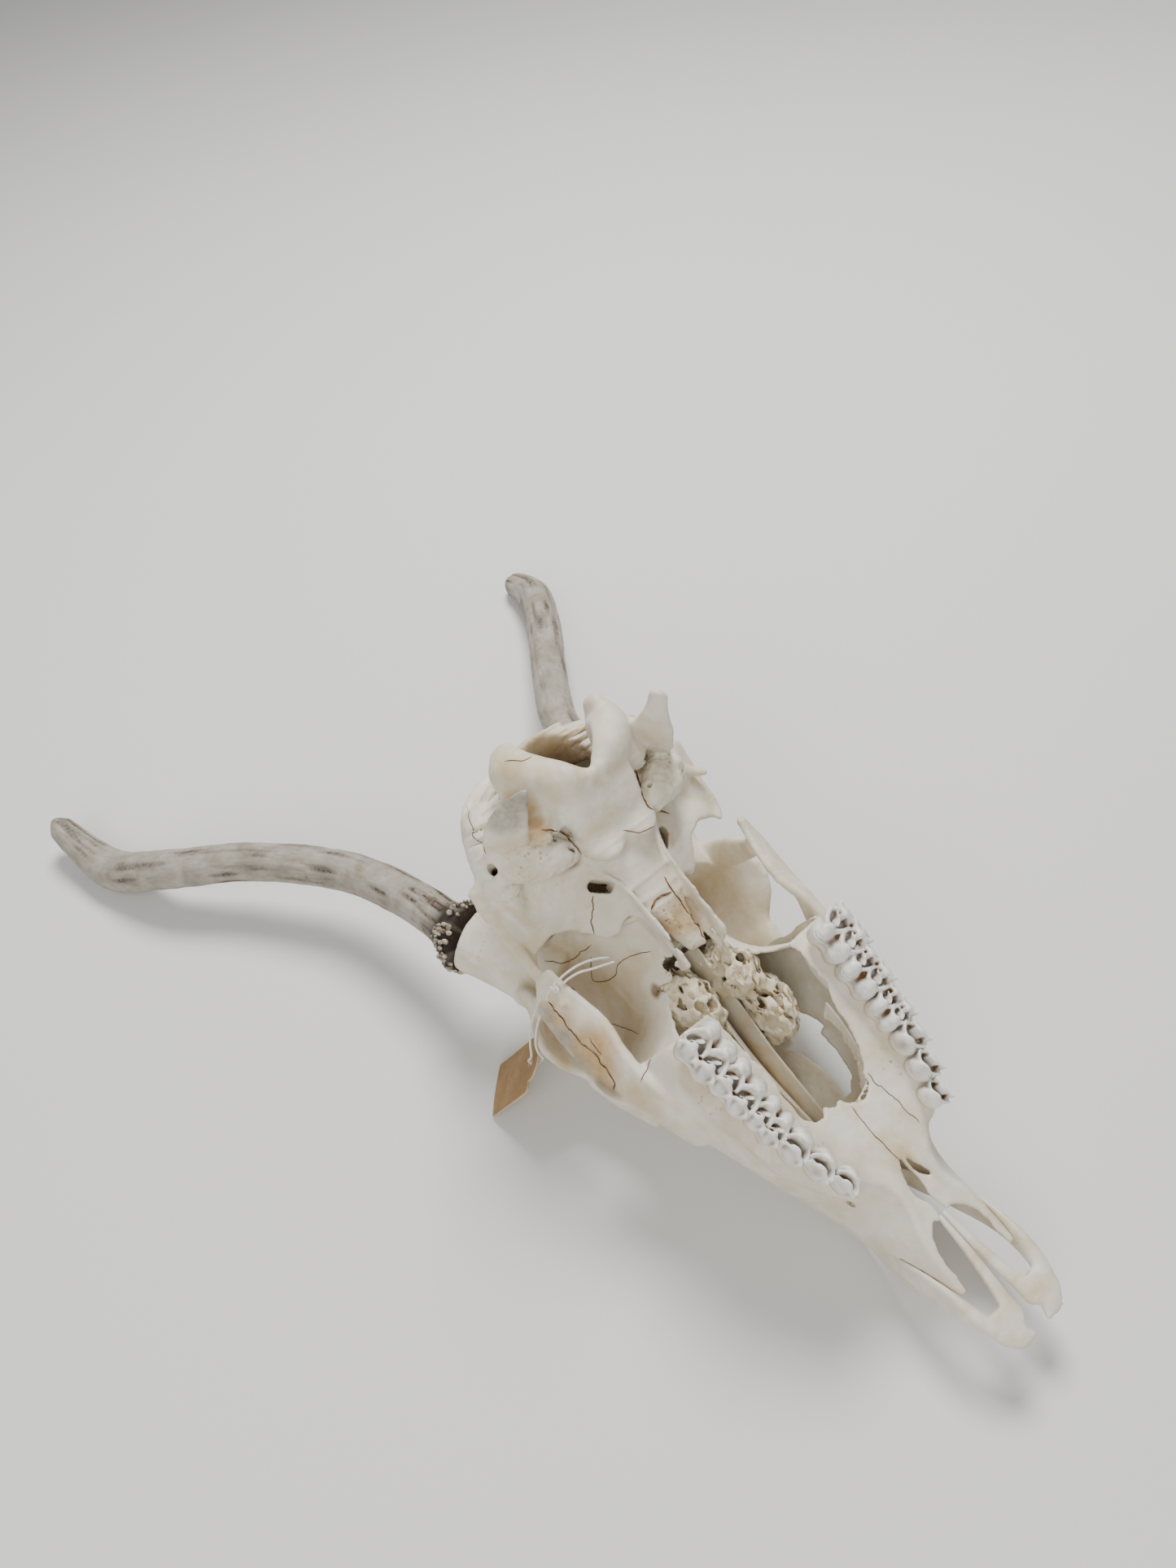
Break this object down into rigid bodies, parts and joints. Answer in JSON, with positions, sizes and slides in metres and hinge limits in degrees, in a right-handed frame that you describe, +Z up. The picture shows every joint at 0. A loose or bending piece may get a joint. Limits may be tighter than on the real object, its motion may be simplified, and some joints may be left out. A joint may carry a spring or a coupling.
{
  "type": "fallow deer skull",
  "caption": "Cleaned skull of a young fallow buck with two unbranched spike antlers and cheek teeth, lying upside down on its crown with a card tag on a string",
  "frame": {"origin": "the middle of the box round skull and antlers, at the height of the surface that it lies on", "axes": "+Z up, +Y from the tip of the snout towards the antlers' tips, +X towards the deer's right side"},
  "size_m": [0.2712, 0.4385, 0.1422],
  "materials": {
    "dry_bone": "matt cleaned bone, creamy white, tan in its hollows",
    "tooth_enamel": "satin white enamel with brown valleys",
    "antler": "matt, furrowed, grey tan with dark streaks",
    "kraft_card": "plain brown card",
    "cotton_string": "thin twisted white cotton"
  },
  "bodies": {
    "root": {"skull": "dry_bone", "premaxilla_left": "dry_bone", "premaxilla_right": "dry_bone", "tooth_left_1": "tooth_enamel", "tooth_left_2": "tooth_enamel", "tooth_left_3": "tooth_enamel", "tooth_left_4": "tooth_enamel", "tooth_left_5": "tooth_enamel", "tooth_left_6": "tooth_enamel", "tooth_right_1": "tooth_enamel", "tooth_right_2": "tooth_enamel", "tooth_right_3": "tooth_enamel", "tooth_right_4": "tooth_enamel", "tooth_right_5": "tooth_enamel", "tooth_right_6": "tooth_enamel", "antler_left": "antler", "antler_right": "antler", "tag": "kraft_card", "string_turn": "cotton_string", "string_loop": "cotton_string", "string_end_upper": "cotton_string", "string_end_lower": "cotton_string"}
  },
  "joints": []
}
